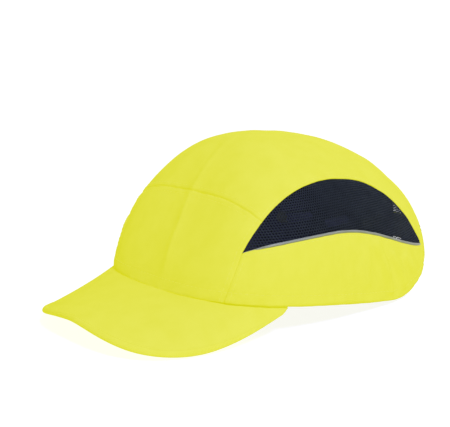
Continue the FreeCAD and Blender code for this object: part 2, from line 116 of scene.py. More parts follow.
def height_through(drops, angle):
    """Height of a smooth line that drops below the front hem by drops at HEM_ANGLES."""
    a = np.abs((np.asarray(angle, float) + 180.0) % 360.0 - 180.0)
    slope = np.zeros(len(drops))
    slope[1:-1] = (drops[2:] - drops[:-2]) / (HEM_ANGLES[2:] - HEM_ANGLES[:-2])
    i = np.clip(np.searchsorted(HEM_ANGLES, a, side="right") - 1, 0, len(drops) - 2)
    span = HEM_ANGLES[i + 1] - HEM_ANGLES[i]
    t = (a - HEM_ANGLES[i]) / span
    drop = mix(drops[i], drops[i + 1], smooth(t))
    drop += slope[i] * span * t * (1 - t) ** 2 - slope[i + 1] * span * t * t * (1 - t)
    return FRONT_HEM - drop


def hem_height(angle):
    return height_through(HEM_DROPS, angle)


def plan_radius(angle):
    c, s = np.cos(np.radians(angle)), np.sin(np.radians(angle))
    reach = np.where(c > 0.0, FRONT_REACH, CROWN_LENGTH - FRONT_REACH)
    total = (np.abs(c) / reach) ** PLAN_POWER + (np.abs(s) / HALF_WIDTH) ** PLAN_POWER
    return total ** (-1.0 / PLAN_POWER)


def shape_power(angle, k):
    c = np.cos(np.radians(angle))
    return mix(SHAPE_SIDE[k], np.where(c > 0.0, SHAPE_FRONT[k], SHAPE_REAR[k]), c * c)


def crown_point(angle, tau):
    """Point on the cloth's outer face: tau is 0 at the widest line and 90 at the top."""
    rise = np.sin(np.radians(tau))
    plump = mix(shape_power(angle, 0), 2.0, np.abs(rise) ** 4)
    lean = np.radians(np.where(tau > 0.0, tau, tau * 0.5))
    out = plan_radius(angle) * np.maximum(np.cos(lean), 0.0) ** (2.0 / plump)
    base = height_through(BASE_DROPS, angle)
    lift = np.sign(rise) * np.abs(rise) ** (2.0 / shape_power(angle, 1))
    turn = np.radians(angle)
    z = base + (CROWN_TOP - base) * lift
    return stack(out * np.sin(turn), AXIS_BACK - out * np.cos(turn), z)


def tau_at(angle, height):
    base = height_through(BASE_DROPS, angle)
    t = (height - base) / (CROWN_TOP - base)
    lift = np.sign(t) * np.abs(t) ** (shape_power(angle, 1) / 2.0)
    return np.degrees(np.arcsin(np.clip(lift, -1.0, 1.0)))


def to_disc(angle, tau):
    """Chart spot: the crown laid out as a disc, its top in the middle."""
    r = 1.0 - tau / 90.0
    return stack(r * np.cos(np.radians(angle)), r * np.sin(np.radians(angle)))


def from_disc(spot):
    r = np.hypot(spot[..., 0], spot[..., 1])
    return np.degrees(np.arctan2(spot[..., 1], spot[..., 0])), 90.0 * (1.0 - r)


def unit(v):
    return v / np.maximum(np.linalg.norm(v, axis=-1, keepdims=True), 1e-12)


def outwards(spot):
    """Direction straight out of the cloth."""
    angle, tau = from_disc(spot)
    spot = to_disc(angle, np.maximum(tau, tau_at(angle, hem_height(angle) + 1.5)))
    step = np.array((0.001, 0.0))
    ahead = crown_point(*from_disc(spot + step)) - crown_point(*from_disc(spot - step))
    aside = crown_point(*from_disc(spot + step[::-1]))
    aside = aside - crown_point(*from_disc(spot - step[::-1]))
    return unit(np.cross(ahead, aside))


def raised(angle, rise):
    """Chart spot at a rise above the hem."""
    return to_disc(angle, tau_at(angle, hem_height(angle) + rise))


def cloth_point(spot, depth):
    """Point at a depth inside the cloth's outer face."""
    normal = outwards(spot)
    return crown_point(*from_disc(spot)) - normal * np.asarray(depth, float)[..., None]


def patch(edges, u, v):
    """Chart spots between four edges: u runs along the foot, and v from foot to head."""
    foot, head, left, right = edges
    start = np.zeros(1)
    across, along = u[..., None], v[..., None]
    both = mix(foot(u), head(u), along) + mix(left(v), right(v), across)
    low = mix(foot(start), foot(start + 1.0), across)
    high = mix(head(start), head(start + 1.0), across)
    return both - mix(low, high, along)


def through(values, t):
    """Curve through values at even steps of t from 0 to 1."""
    last, total = len(values) - 1, 0.0
    for i, value in enumerate(values):
        weight = 1.0
        for j in range(len(values)):
            if j != i:
                weight = weight * (t * last - j) / (i - j)
        total = total + value * weight
    return total


def seam_angle(t):
    return mix(MESH_FRONT, MESH_REAR, t)


def piping_height(t):
    return FRONT_HEM + through(PIPING_RISE, t)


def piping_spot(t):
    return to_disc(seam_angle(t), tau_at(seam_angle(t), piping_height(t)))


def mesh_top_height(t):
    return FRONT_HEM + through(MESH_TOP_RISE, 1.0 - np.maximum(1.0 - t, 0.0) ** 0.65)


def mesh_top_spot(t):
    return to_disc(seam_angle(t), tau_at(seam_angle(t), mesh_top_height(t)))


def side_seam_spot(t):
    angle = mix(SIDE_SEAM, MESH_FRONT, t)
    return to_disc(angle, tau_at(angle, mix(hem_height(angle), piping_height(0.0), t)))


def rear_seam_spot(t):
    angle = mix(MESH_REAR, REAR_SEAM, smooth(t))
    return to_disc(angle, tau_at(angle, mix(piping_height(1.0), hem_height(angle), t)))


def other_side(edge):
    return lambda t: edge(t) * np.array((1.0, -1.0))


def front_side_edge(t):
    low = side_seam_spot(np.minimum(t / FRONT_SPLIT, 1.0))
    high = mesh_top_spot(CROSS_SHARE * np.maximum(t - FRONT_SPLIT, 0.0) / (1.0 - FRONT_SPLIT))
    return np.where((t < FRONT_SPLIT)[..., None], low, high)


def crown_side_edge(t):
    ease = np.sin(np.pi / 2.0 * np.minimum(t / CROWN_SPLIT, 1.0))
    top = mesh_top_spot(mix(CROSS_SHARE, 1.0, ease))
    rear = rear_seam_spot(np.maximum(t - CROWN_SPLIT, 0) / (1.0 - CROWN_SPLIT))
    return np.where((t < CROWN_SPLIT)[..., None], top, rear)


def cross_seam(t):
    end = mesh_top_spot(np.array(CROSS_SHARE))
    side = 2.0 * t - 1.0
    return stack(mix(CROSS_REACH, end[0], side * side), end[1] * side)


def hem_run(start, end):
    return lambda t: raised(mix(start, end, t), 0.0)


def rear_point(x, z, depth):
    """Point at the back of the crown with a given x and height."""
    x, z, depth = (np.asarray(a, float) for a in np.broadcast_arrays(x, z, depth))
    low, high = np.full(x.shape, 90.0), np.full(x.shape, 270.0)
    for _ in range(34):
        angle = (low + high) / 2.0
        left = crown_point(angle, tau_at(angle, z))[..., 0] > x
        low, high = np.where(left, angle, low), np.where(left, high, angle)
    return cloth_point(to_disc(angle, tau_at(angle, z)), depth)


# Cloth relief, in millimetres outwards.


def ripple(p, length, seed):
    """Smooth random waves of about one size, from -1 to 1 or so."""
    waves = np.random.default_rng(seed)
    total = 0.0
    for _ in range(7):
        way = unit(waves.normal(size=3)) * 2.0 * np.pi / (length * waves.uniform(0.75, 1.4))
        total = total + np.sin(p @ way + waves.uniform(0.0, 6.28))
    return total / 3.0


# Folds on the wearer's left: start angle and rise above the hem, end angle and rise, width, height.
FOLDS = (
    (111.0, 37.0, 117.0, 8.0, 4.0, 4.6),
    (104.0, 36.0, 102.0, 14.0, 4.0, 1.8),
    (97.0, 22.0, 101.0, 8.0, 4.0, 1.4),
    (121.5, 30.0, 127.5, 9.0, 3.6, 3.2),
    (130.0, 25.0, 137.0, 8.0, 3.2, 2.2),
    (139.0, 20.0, 143.5, 6.0, 3.0, 1.2),
    (89.0, 40.0, 84.0, 30.0, 3.2, 0.35),
    (72.0, 40.0, 76.0, 29.0, 3.4, 0.35),
    (55.0, 30.0, 60.0, 12.0, 5.0, 0.4),
    (126.0, 38.0, 120.0, 47.0, 3.0, 0.5),
)


def folds(angle, rise, shift=0.0, share=1.0):
    """Height of the folds at a place: each is a ridge with a shallow trough round it."""
    x, total = np.radians(angle) * HALF_WIDTH, 0.0
    for a0, r0, a1, r1, width, height in FOLDS:
        x0, x1 = math.radians(a0 + shift) * HALF_WIDTH, math.radians(a1 + shift) * HALF_WIDTH
        run = np.array((x1 - x0, r1 - r0))
        t = ((x - x0) * run[0] + (rise - r0) * run[1]) / (run @ run)
        near = np.clip(t, 0.0, 1.0)
        gap = np.hypot(x - x0 - near * run[0], rise - r0 - near * run[1])
        fade = 0.45 + 0.55 * np.sin(np.pi * np.clip(near * 0.8 + 0.1, 0, 1))
        wave = np.exp(-((gap / width) ** 2)) - 0.4 * np.exp(-((gap / width / 2.1) ** 2))
        total = total + share * height * fade * wave
    return total


def relief(spot):
    """How far the cloth stands out: the crease, slow waves and the folds at the sides."""
    p = crown_point(*from_disc(spot))
    angle, _ = from_disc(spot)
    rise = p[..., 2] - hem_height(angle)
    crease = CREASE_TALL * smooth((p[..., 2] - 23.0) / 22.0)
    crease = crease * (1.0 - smooth((p[..., 1] + 45.0) / 75.0))
    across = p[..., 0] - CREASE_ASIDE * (1.0 - smooth((p[..., 2] - 24.0) / 56.0))
    lift = crease * np.exp(-(np.hypot(across, CREASE_ROUND) - CREASE_ROUND) / CREASE_WIDE)
    lift = lift + 0.28 * ripple(p, 42.0, 3) + 0.10 * ripple(p, 16.0, 4)
    low = smooth((94.2 - p[..., 2]) / 15.0)
    side = np.where(angle >= 0.0, folds(angle, rise), folds(-angle, rise, 3.0, 0.8))
    return lift + side * low


# Materials.


def new_material(name, colour, rough, **extra):
    mat = bpy.data.materials.new(name)
    mat.use_nodes = True
    tree = mat.node_tree
    shader = tree.nodes["Principled BSDF"]
    shader.inputs["Base Color"].default_value = (*colour, 1.0)
    shader.inputs["Roughness"].default_value = rough
    for key, value in extra.items():
        shader.inputs[key.replace("_", " ")].default_value = value
    return mat, tree, shader


def add(tree, kind, **values):
    node = tree.nodes.new("ShaderNode" + kind)
    for key, value in values.items():
        if hasattr(node, key):
            setattr(node, key, value)
        else:
            node.inputs[key.replace("_", " ")].default_value = value
    return node


def ramp(tree, value, stops):
    node = add(tree, "ValToRGB")
    line = node.color_ramp
    while len(line.elements) < len(stops):
        line.elements.new(0.5)
    for element, (place, colour) in zip(line.elements, stops):
        element.position = place
        element.color = (*colour, 1.0)
    tree.links.new(value, node.inputs["Fac"])
    return node.outputs["Color"]


def bump(tree, shader, height, distance, below=None):
    node = add(tree, "Bump", Strength=1.0, Distance=distance)
    tree.links.new(height, node.inputs["Height"])
    if below is not None:
        tree.links.new(below, node.inputs["Normal"])
    tree.links.new(node.outputs["Normal"], shader.inputs["Normal"])
    return node.outputs["Normal"]


def woven(name, light, dark, rough, pitch=0.55, depth=0.00012, painted_glow=0.0, **extra):
    """Cloth with a fine weave on its UVs, which are in millimetres, and mottled wear."""
    mat, tree, shader = new_material(name, light, rough, **extra)
    where = add(tree, "TexCoord")
    threads = []
    for way in ("X", "Y"):
        wave = add(tree, "TexWave", wave_type="BANDS", bands_direction=way)
        wave.inputs["Scale"].default_value = 0.314 / pitch
        wave.inputs["Distortion"].default_value = 0.6
        wave.inputs["Detail"].default_value = 1.0
        tree.links.new(where.outputs["UV"], wave.inputs["Vector"])
        threads.append(wave.outputs["Fac"])
    weave = add(tree, "Math", operation="MAXIMUM")
    tree.links.new(threads[0], weave.inputs[0])
    tree.links.new(threads[1], weave.inputs[1])
    patchy = add(tree, "TexNoise")
    patchy.inputs["Scale"].default_value = 0.09
    patchy.inputs["Detail"].default_value = 5.0
    tree.links.new(where.outputs["UV"], patchy.inputs["Vector"])
    tone = ramp(tree, patchy.outputs["Fac"], [(0.32, dark), (0.62, light)])
    fine = add(tree, "TexNoise")
    fine.inputs["Scale"].default_value = 2.4
    fine.inputs["Detail"].default_value = 3.0
    tree.links.new(where.outputs["UV"], fine.inputs["Vector"])
    blend = add(tree, "Mix", data_type="RGBA", blend_type="MULTIPLY")
    blend.inputs[0].default_value = 0.22
    tree.links.new(tone, blend.inputs[6])
    # painted shade: the weave's low spots, between the threads, are darkened in the colour
    shade = ramp(tree, weave.outputs[0], [(0.2, (0.55, 0.55, 0.5)), (0.9, (1.0, 1.0, 1.0))])
    tree.links.new(shade, blend.inputs[7])
    tree.links.new(blend.outputs[2], shader.inputs["Base Color"])
    # painted glow: an emission in the cloth's yellow brightens it under any lamp, though it is no lamp
    if painted_glow:
        shader.inputs["Emission Color"].default_value = (1.0, 0.99, 0.005, 1.0)
        shader.inputs["Emission Strength"].default_value = painted_glow
    first = bump(tree, shader, fine.outputs["Fac"], depth * 0.8)
    bump(tree, shader, weave.outputs[0], depth, below=first)
    return mat


def grained(name, light, dark, rough, scale, depth, **extra):
    """Plastic, foam or pile: one noise for the tone and one for the grain, in object space."""
    mat, tree, shader = new_material(name, light, rough, **extra)
    where = add(tree, "TexCoord")
    patchy = add(tree, "TexNoise", Scale=scale * 0.03, Detail=4.0)
    grain = add(tree, "TexNoise", Scale=scale, Detail=3.0, Roughness=0.6)
    for node in (patchy, grain):
        tree.links.new(where.outputs["Object"], node.inputs["Vector"])
    tone = ramp(tree, patchy.outputs["Fac"], [(0.3, dark), (0.7, light)])
    tree.links.new(tone, shader.inputs["Base Color"])
    bump(tree, shader, grain.outputs["Fac"], depth)
    return mat


YELLOW = (0.18, 0.18, 0.042)
YELLOW_DARK = (0.165, 0.165, 0.036)
# painted glow: both yellow cloths glow at 0.62, which stands in for light on them
cloth_mat = woven("hi_vis_cloth", YELLOW, YELLOW_DARK, 0.7, painted_glow=0.62, Specular_IOR_Level=0.0)
strap_mat = woven("strap_cloth", YELLOW, YELLOW_DARK, 0.7, painted_glow=0.62, Specular_IOR_Level=0.0)
lining_mat = woven("cloth_inside", (0.022, 0.024, 0.028), (0.015, 0.016, 0.02), 0.9)
mesh_mat = woven("mesh_cloth", (0.025, 0.031, 0.020), (0.020, 0.025, 0.016), 0.85, 0.3, 0.0001,
                 Specular_IOR_Level=0.1)
tape_mat = woven("binding_tape", (0.016, 0.020, 0.024), (0.011, 0.014, 0.018), 0.8, 0.45)
band_mat = woven("sweatband_cloth", (0.022, 0.024, 0.022), (0.012, 0.013, 0.012), 0.95, 0.9, 0.0004)
# painted glow: the yellow thread glows at 0.6, which stands in for light on it
thread_mat = grained("hi_vis_thread", (0.18, 0.18, 0.04), (0.15, 0.15, 0.03), 0.6, 4000.0, 0.00004,
                     Emission_Color=(1.0, 0.99, 0.01, 1.0), Emission_Strength=0.6)
dark_thread_mat = grained("dark_thread", (0.03, 0.035, 0.05), (0.015, 0.02, 0.03), 0.6, 4000.0, 0.00004)
shell_mat = grained("shell_plastic", (0.010, 0.010, 0.008), (0.006, 0.006, 0.005), 0.65, 1600.0,
                    0.00005, Specular_IOR_Level=0.2)
foam_mat = grained("pad_foam", (0.022, 0.022, 0.025), (0.012, 0.012, 0.014), 0.9, 1100.0, 0.0003)
loop_mat = grained("loop_pile", (0.014, 0.016, 0.02), (0.007, 0.008, 0.01), 0.95, 2600.0, 0.0008)
hook_mat = grained("hook_tape", (0.016, 0.018, 0.022), (0.01, 0.011, 0.014), 0.45, 1500.0, 0.0001)
board_mat = grained("peak_board", (0.62, 0.62, 0.58), (0.55, 0.55, 0.5), 0.5, 700.0, 0.0001)
piping_mat = woven("reflective_piping", (0.28, 0.29, 0.12), (0.22, 0.23, 0.095), 0.45, 0.4, 0.00008,
                   Metallic=0.2)


# Meshes.


def finish_mesh(name, verts, faces, material, body, uv=None, rounded=True):
    mesh = bpy.data.meshes.new(name)
    mesh.from_pydata((verts * MM).tolist(), [], faces)
    mesh.materials.append(material)
    if rounded:
        mesh.shade_smooth()
    if uv is not None:
        layer = mesh.uv_layers.new(name="UVMap")
        index = np.empty(len(mesh.loops), int)
        mesh.loops.foreach_get("vertex_index", index)
        layer.data.foreach_set("uv", np.asarray(uv, float)[index].ravel())
    obj = bpy.data.objects.new(name, mesh)
    bpy.context.scene.collection.objects.link(obj)
    if body:
        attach(obj, body)
    return obj


def grid_faces(n, m, start=0, flip=False):
    i, j = np.meshgrid(np.arange(n - 1), np.arange(m - 1), indexing="ij")
    k = i + 1
    quads = np.stack((i * m + j, k * m + j, k * m + j + 1, i * m + j + 1), -1) + start
    return quads[..., ::-1] if flip else quads


def slab(name, outer, inner, material, body, uv, keep=None, lining=None):
    """Closed layer of cloth between two grids of points; keep drops some of its squares."""
    n, m = outer.shape[:2]
    count = n * m
    if keep is None:
        keep = np.ones((n - 1, m - 1), bool)
    top = grid_faces(n, m)[keep]
    edges = np.concatenate([top[:, (k, (k + 1) % 4)] for k in range(4)])
    inner_edge = np.isin(edges[:, 0] * count + edges[:, 1], edges[:, 1] * count + edges[:, 0])
    a, b = edges[~inner_edge].T
    rim = np.stack((b, a, a + count, b + count), -1)
    faces = np.concatenate((top, top[:, ::-1] + count, rim))
    turned = np.cross(outer[1:, :-1] - outer[:-1, :-1], outer[:-1, 1:] - outer[:-1, :-1])
    if (turned * (outer - inner)[:-1, :-1]).sum() < 0.0:
        faces = faces[:, ::-1]
    used, index = np.unique(faces, return_inverse=True)
    verts = np.concatenate((outer.reshape(-1, 3), inner.reshape(-1, 3)))[used]
    both = np.concatenate((uv.reshape(-1, 2), uv.reshape(-1, 2)))[used]
    faces = index.reshape(faces.shape).tolist()
    obj = finish_mesh(name, verts, faces, material, body, both)
    if lining is not None:
        obj.data.materials.append(lining)
        for face in obj.data.polygons[len(top):2 * len(top)]:
            face.material_index = 1
    return obj


def tube_rings(name, rings, material, body):
    """Closed tube through rings of points, (stations, points round, 3)."""
    n, m = rings.shape[:2]
    ring = np.concatenate((rings, rings[:, :1]), 1)
    around = np.concatenate((np.zeros((n, 1)), np.cumsum(
        np.linalg.norm(np.diff(ring, axis=1), axis=-1), 1)), 1)
    along = np.concatenate((np.zeros(1), np.cumsum(
        np.linalg.norm(np.diff(rings.mean(1), axis=0), axis=-1))))
    uv = stack(np.broadcast_to(along[:, None], (n, m + 1)), around)
    faces = grid_faces(n, m + 1).reshape(-1, 4).tolist()
    verts = ring.reshape(-1, 3)
    uv = uv.reshape(-1, 2)
    ends = np.stack((rings[0].mean(0), rings[-1].mean(0)))
    base = len(verts)
    verts = np.concatenate((verts, ends))
    uv = np.concatenate((uv, uv[[0, -1]]))
    last = (n - 1) * (m + 1)
    for j in range(m):
        faces.append([base, j, j + 1])
        faces.append([base + 1, last + j + 1, last + j])
    return finish_mesh(name, verts, faces, material, body, uv)


def stitches(name, rows, material, body):
    """Rows of separate stitches. Each row is (points, directions out of the cloth)."""
    shape_u = np.array((0.0, 0.06, 0.25, 0.5, 0.75, 0.94, 1.0))
    shape_r = np.array((0.05, 0.6, 0.95, 1.0, 0.95, 0.6, 0.05))
    around = 6
    turn = np.arange(around) * 2.0 * np.pi / around
    verts, faces = [], []
    for points, normals in rows:
        step = np.concatenate((np.zeros(1), np.cumsum(
            np.linalg.norm(np.diff(points, axis=0), axis=-1))))
        total = step[-1]
        count = int(total // (STITCH_LONG + STITCH_GAP))
        for k in range(count):
            s = (k + 0.5) * total / count + (shape_u - 0.5) * STITCH_LONG
            mid = np.stack([np.interp(s, step, points[:, c]) for c in range(3)], -1)
            out = unit(np.stack([np.interp(s, step, normals[:, c]) for c in range(3)], -1))
            way = unit(mid[-1] - mid[0])
            side = unit(np.cross(way, out))
            arch = np.sin(np.pi * shape_u)[:, None] * STITCH_RADIUS * 0.8 - STITCH_SINK
            mid = mid + out * arch
            ring = mid[:, None] + STITCH_RADIUS * shape_r[:, None, None] * (
                np.cos(turn)[None, :, None] * side[:, None] + np.sin(turn)[None, :, None] * out[:, None])
            base = len(verts) * len(shape_u) * around
            verts.append(ring.reshape(-1, 3))
            n, m = len(shape_u), around
            for i in range(n - 1):
                for j in range(m):
                    a, b = i * m + j, i * m + (j + 1) % m
                    faces.append([base + a, base + b, base + b + m, base + a + m])
    return finish_mesh(name, np.concatenate(verts), faces, material, body)


class Panel:
    """A sewn panel: its edges sink into the seams, and rows of stitches dent it."""

    def __init__(self, edges, across, along, dips, rows):
        u, v = np.meshgrid(np.linspace(0, 1, across), np.linspace(0, 1, along), indexing="ij")
        self.spot = patch(edges, u, v)
        base = crown_point(*from_disc(self.spot))
        self.out = outwards(self.spot)
        rims = {"foot": base[:, :1], "head": base[:, -1:], "left": base[:1], "right": base[-1:]}
        self.gap = {k: np.linalg.norm(base - rim, axis=-1) for k, rim in rims.items()}
        lift = relief(self.spot)
        for edge, (deep, wide) in dips.items():
            gap = self.gap[edge]
            lift = lift - deep * np.exp(-((gap / wide) ** 2))
            lift = lift + 0.16 * np.exp(-gap / 5.0) * ripple(base, 7.0, len(edge) + across)
        for edge, place in rows:
            lift = lift - 0.1 * np.exp(-(((self.gap[edge] - place) / 0.7) ** 2))
        self.outer = base + self.out * lift[..., None]
        self.inner = self.outer - self.out * CLOTH_THICK
        self.uv = self.spot * UV_SCALE
        self.base = base
        self.rows = rows

    def row(self, edge, place):
        """The line on the panel at a distance from one edge."""
        gap, outer, out = self.gap[edge], self.outer, self.out
        if edge in ("foot", "head"):
            gap, outer, out = gap.T, outer.transpose(1, 0, 2), out.transpose(1, 0, 2)
        if edge in ("head", "right"):
            gap, outer, out = gap[::-1], outer[::-1], out[::-1]
        points, normals = [], []
        half = len(gap) // 2
        for j in range(gap.shape[1]):
            line = gap[:half, j]
            if line.max() < place:
                continue
            k = int(np.argmax(line >= place))
            t = 0.0 if k == 0 else (place - line[k - 1]) / max(line[k] - line[k - 1], 1e-9)
            k = max(k, 1)
            points.append(mix(outer[k - 1, j], outer[k, j], t))
            normals.append(mix(out[k - 1, j], out[k, j], t))
        return np.array(points), unit(np.array(normals))


# Front, crown and side panels.
FRONT = Panel(
    (hem_run(-SIDE_SEAM, SIDE_SEAM), cross_seam, other_side(front_side_edge), front_side_edge),
    170, 120, {"foot": (0.1, 1.0), "head": (0.25, 0.8), "left": (0.25, 0.8), "right": (0.25, 0.8)},
    [("foot", 6.5), ("head", 3.2), ("left", 3.0), ("right", 3.0)])
front = slab("front_panel_cloth", FRONT.outer, FRONT.inner, cloth_mat, "cover", FRONT.uv,
             lining=lining_mat)
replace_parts(front, "front_panel")

CROWN = Panel(
    (cross_seam, hem_run(-REAR_SEAM, REAR_SEAM - 360.0), other_side(crown_side_edge), crown_side_edge),
    200, 220, {"foot": (0.25, 0.8), "head": (0.3, 1.0), "left": (0.25, 0.8), "right": (0.25, 0.8)},
    [("foot", 3.2), ("left", 2.2), ("right", 2.2)])
# The crown's cloth stops inside the binding that goes round the rear arch.
under_tape, behind = TAPE_HALF + 0.5, 60.0
arch_half, arch_tall = ARCH_HALF + under_tape, ARCH_TALL + under_tape
centre = (CROWN.base[1:, 1:] + CROWN.base[:-1, :-1]) / 2.0
inside = (centre[..., 0] / arch_half) ** 2 + ((centre[..., 2] - ARCH_FOOT) / arch_tall) ** 2 < 1.0
inside |= (np.abs(centre[..., 0]) < arch_half) & (centre[..., 2] < ARCH_FOOT)
keep = ~(inside & (centre[..., 1] > behind))
crown = slab("crown_panel_cloth", CROWN.outer, CROWN.inner, cloth_mat, "cover", CROWN.uv, keep,
             lining_mat)
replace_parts(crown, "crown_panel")

panels = {"front": FRONT, "crown": CROWN}
for name, sign in (("left", 1.0), ("right", -1.0)):
    edges = (hem_run(SIDE_SEAM, REAR_SEAM), piping_spot, side_seam_spot,
             lambda t: rear_seam_spot(1.0 - t))
    if sign < 0.0:
        edges = tuple(other_side(edge) for edge in edges)
    side = Panel(edges, 250, 76, {"foot": (0.15, 1.0), "head": (0.9, 0.9), "left": (0.25, 0.8),
                                  "right": (0.25, 0.8)},
                 [("foot", 6.5), ("head", 2.6), ("left", 3.0), ("right", 3.0)])
    panels["side_" + name] = side
    obj = slab(f"side_panel_{name}_cloth", side.outer, side.inner, cloth_mat, "cover", side.uv,
               lining=lining_mat)
    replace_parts(obj, "side_panel_" + name)

for key, panel in panels.items():
    rows = [panel.row(edge, place) for edge, place in panel.rows]
    rows = [row for row in rows if len(row[0]) > 3]
    stitches(f"{key}_topstitch", rows, thread_mat, "cover")

# Side mesh: a knit with open holes, laid on a level lattice.
HOLE_PITCH, HOLE_RADIUS, HOLE_SIDES, ROW_SHARE, MESH_THICK = 1.9, 0.7, 12, 0.866, 0.55
LATTICE_FLOOR, LATTICE_BELT, LATTICE_COLUMNS = 30.0, 58.0, 400
LATTICE_LOW, LATTICE_STEP, LATTICE_STEPS = -5.0, 0.25, 320
angles = np.linspace(MESH_FRONT - 2.0, MESH_REAR + 2.0, LATTICE_COLUMNS)
taus = np.linspace(0.0, 88.0, 700)
table = crown_point(angles[:, None], taus[None, :])
floor_tau = tau_at(angles, LATTICE_FLOOR)
climb = np.concatenate((np.zeros((LATTICE_COLUMNS, 1)), np.cumsum(
    np.linalg.norm(np.diff(table, axis=1), axis=-1), 1)), 1)
climb -= np.array([np.interp(t, taus, row) for t, row in zip(floor_tau, climb)])[:, None]
belt = crown_point(angles, tau_at(angles, LATTICE_BELT))
belt = np.concatenate((np.zeros(1), np.cumsum(np.linalg.norm(np.diff(belt, axis=0), axis=-1))))
grid = LATTICE_LOW + LATTICE_STEP * np.arange(LATTICE_STEPS + 1)
tau_grid = np.array([np.interp(grid, row, taus) for row in climb])


def lattice_spot(s, w):
    """Chart spot of a place s along the side and w up the cloth."""
    place = np.interp(s, belt, np.arange(float(LATTICE_COLUMNS)))
    place = np.clip(place, 0, LATTICE_COLUMNS - 1.001)
    i = place.astype(int)
    t = place - i
    level = np.clip((w - LATTICE_LOW) / LATTICE_STEP, 0, LATTICE_STEPS - 0.001)
    j = level.astype(int)
    f = level - j
    low = mix(tau_grid[i, j], tau_grid[i, j + 1], f)
    high = mix(tau_grid[i + 1, j], tau_grid[i + 1, j + 1], f)
    angle = mix(angles[i], angles[i + 1], t)
    return to_disc(angle, mix(low, high, t)), angle


def climb_of(angle, height):
    """Way up the cloth from the lattice's floor to a height."""
    tau = tau_at(angle, height)
    columns = np.arange(float(LATTICE_COLUMNS))
    i = np.clip(np.round(np.interp(angle, angles, columns)).astype(int), 0, LATTICE_COLUMNS - 1)
    return np.array([np.interp(a, taus, climb[k]) for a, k in zip(tau, i)])


def build_mesh_panel(name, sign):
    rows, cols = int(70 / (HOLE_PITCH * ROW_SHARE)), int(belt[-1] / HOLE_PITCH)
    r, c = np.meshgrid(np.arange(rows), np.arange(cols), indexing="ij")
    s = (c + 0.5 * (r % 2)).ravel() * HOLE_PITCH
    w = r.ravel() * HOLE_PITCH * ROW_SHARE - 4.0
    _, angle = lattice_spot(s, w)
    t = (angle - MESH_FRONT) / (MESH_REAR - MESH_FRONT)
    inside = (t > -0.005) & (t < 1.005)
    s, w, t, angle = s[inside], w[inside], np.clip(t[inside], 0, 1), angle[inside]
    low, high = climb_of(angle, piping_height(t)), climb_of(angle, mesh_top_height(t))
    inside = (w > low - 1.4) & (w < high + 2.6)
    s, w = s[inside], w[inside]
    # Each cell runs from a hexagon on one face, through the round hole, to the other face.
    sides = np.arange(HOLE_SIDES)
    turn = sides * np.pi / 6.0 + np.pi / 6.0
    reach = HOLE_PITCH / math.sqrt(3.0) * np.where(sides % 2 == 0, 1.0, ROW_SHARE)
    round_hole = np.full(HOLE_SIDES, HOLE_RADIUS)
    rings = [(reach, 0.0), (round_hole + 0.08, 0.02), (round_hole, 0.2),
             (round_hole, MESH_THICK - 0.1), (reach, MESH_THICK)]
    flat, depth = [], []
    for radius, deep in rings:
        flat.append(stack(s[:, None] + radius * np.cos(turn), w[:, None] + radius * np.sin(turn)))
        depth.append(np.full(flat[-1].shape[:2], deep))
    flat, depth = np.stack(flat, 1).reshape(-1, 2), np.stack(depth, 1).ravel()
    key = np.round(np.column_stack((flat, depth)) * 200.0).astype(int)
    _, first, index = np.unique(key, axis=0, return_index=True, return_inverse=True)
    index = index.reshape(len(s), len(rings), HOLE_SIDES)
    flat, depth = flat[first], depth[first]
    spot, angle = lattice_spot(flat[:, 0], flat[:, 1])
    t = np.clip((angle - MESH_FRONT) / (MESH_REAR - MESH_FRONT), 0, 1)
    low = flat[:, 1] - climb_of(angle, piping_height(t))
    high = climb_of(angle, mesh_top_height(t)) - flat[:, 1]
    edge = np.minimum(low, high)
    sunk = 0.2 + 0.85 * np.where(edge > 0.0, np.exp(-np.maximum(edge, 0.0) / 1.1), 1.0)
    sunk = sunk + 1.2 * (1.0 - smooth((t - 0.01) / 0.09))
    wave = 0.12 * ripple(crown_point(*from_disc(spot)), 14.0, 9)
    if sign < 0.0:
        spot = spot * np.array((1.0, -1.0))
    points = crown_point(*from_disc(spot)) + outwards(spot) * (
        relief(spot) * 0.8 + wave - sunk - depth)[:, None]
    a, b = index[:, :-1, :], index[:, 1:, :]
    quads = np.stack((a, np.roll(a, -1, 2), np.roll(b, -1, 2), b), -1).reshape(-1, 4)
    if sign > 0.0:
        quads = quads[:, ::-1]
    obj = finish_mesh(f"mesh_panel_{name}_knit", points, quads.tolist(), mesh_mat, "cover", flat)
    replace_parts(obj, "mesh_panel_" + name)


build_mesh_panel("left", 1.0)
build_mesh_panel("right", -1.0)

# Piping between each mesh and the side panel under it.


def sweep(centre, out, profile):
    """Rings along a line: profile is (sideways, outwards) per point, or per station too."""
    way = unit(np.gradient(centre, axis=0))
    side = unit(np.cross(way, out))
    out = unit(np.cross(side, way))
    profile = np.broadcast_to(profile, (len(centre),) + profile.shape[-2:])
    return centre[:, None] + profile[..., :1] * side[:, None] + profile[..., 1:] * out[:, None]


for name, sign in (("left", 1.0), ("right", -1.0)):
    t = np.linspace(0.0, 1.0, 420)
    spot = piping_spot(t)
    if sign < 0.0:
        spot = spot * np.array((1.0, -1.0))
    out = outwards(spot)
    ends = np.minimum(smooth((t - 0.02) / 0.09), smooth((1.0 - t) / 0.02))
    lift = -0.4 * ends - 1.9 * (1.0 - ends) + relief(spot) * 0.9
    centre = crown_point(*from_disc(spot)) + out * lift[:, None]
    turn = np.linspace(0.0, 2.0 * np.pi, 16, endpoint=False)
    ring = stack(0.9 * np.cos(turn), 0.85 * np.sin(turn))
    size = (0.55 + 0.45 * ends) * (1.0 + 0.04 * ripple(centre, 6.0, 21))
    obj = tube_rings(f"reflective_piping_{name}_cord", sweep(centre, out, ring * size[:, None, None]),
                     piping_mat, "cover")
    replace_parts(obj, "reflective_piping_" + name)


# Peak.


def peak_width(q):
    """Length of the peak at q, from -1 to 1 round it, with what is tucked under the front."""
    return PEAK_LENGTH * np.maximum(1.0 - np.abs(q) ** 4.6, 0.0) ** 1.33 + 2.0


